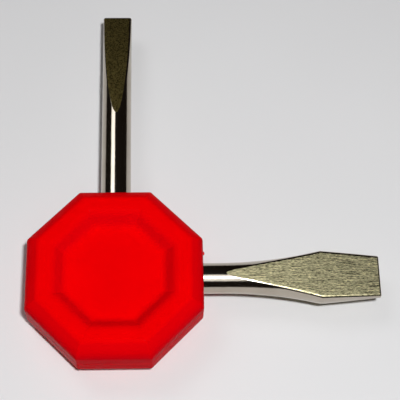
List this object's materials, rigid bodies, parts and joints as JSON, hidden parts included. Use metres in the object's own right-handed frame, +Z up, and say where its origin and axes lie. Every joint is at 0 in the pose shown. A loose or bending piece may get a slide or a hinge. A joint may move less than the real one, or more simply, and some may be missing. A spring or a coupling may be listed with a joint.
{
  "type": "offset screwdriver",
  "caption": "Octagonal palm handle holding a narrow slotted blade and a wide keystone slotted blade at right angles, for turning screws in tight corners.",
  "frame": {"origin": "centre of the octagonal handle, on the plane that its lower ring rests on", "axes": "+X along the wide blade, towards its tip; +Y along the narrow blade, towards its tip; +Z up, square to the handle's face and to the flats of both blades"},
  "size_m": [0.0776, 0.0867, 0.0141],
  "materials": {
    "handle": "satin moulded red",
    "blade": "bright nickel plate on the round shafts, ground grey flats",
    "fastener": "plain zinc-plated steel"
  },
  "bodies": {
    "root": {"upper_shell": "handle", "lower_shell": "handle", "narrow_blade": "blade", "wide_blade": "blade", "narrow_blade_pin": "fastener", "wide_blade_pin": "fastener", "shell_screws": "fastener"}
  },
  "joints": []
}
